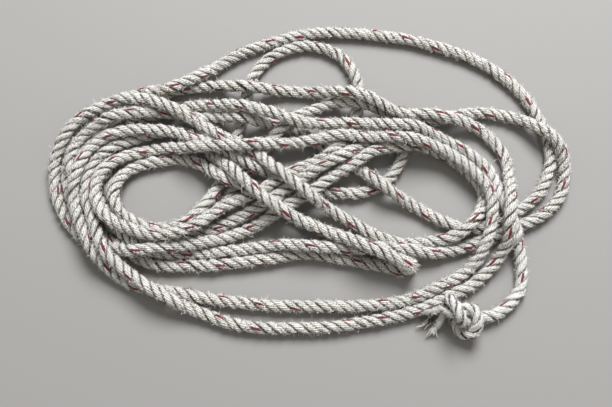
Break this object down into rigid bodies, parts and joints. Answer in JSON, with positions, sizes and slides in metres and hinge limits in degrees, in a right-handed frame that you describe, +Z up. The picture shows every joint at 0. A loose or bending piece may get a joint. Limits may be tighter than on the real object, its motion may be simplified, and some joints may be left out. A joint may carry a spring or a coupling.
{
  "type": "coiled rope",
  "caption": "Old three-strand laid rope lying in a loose flat coil, with a stopper knot at one end and a blunt, frayed plain end.",
  "frame": {"origin": "under the middle of the coil's box, on the floor that it lies on", "axes": "+Z up, off the floor; +X along the coil's long side, towards the end where the knot is; +Y towards the big loop, away from the knot"},
  "size_m": [0.5208, 0.3249, 0.0374],
  "materials": {
    "laid_rope": "matte, hairy, grey with dirt"
  },
  "bodies": {
    "root": {"rope": "laid_rope"}
  },
  "joints": []
}
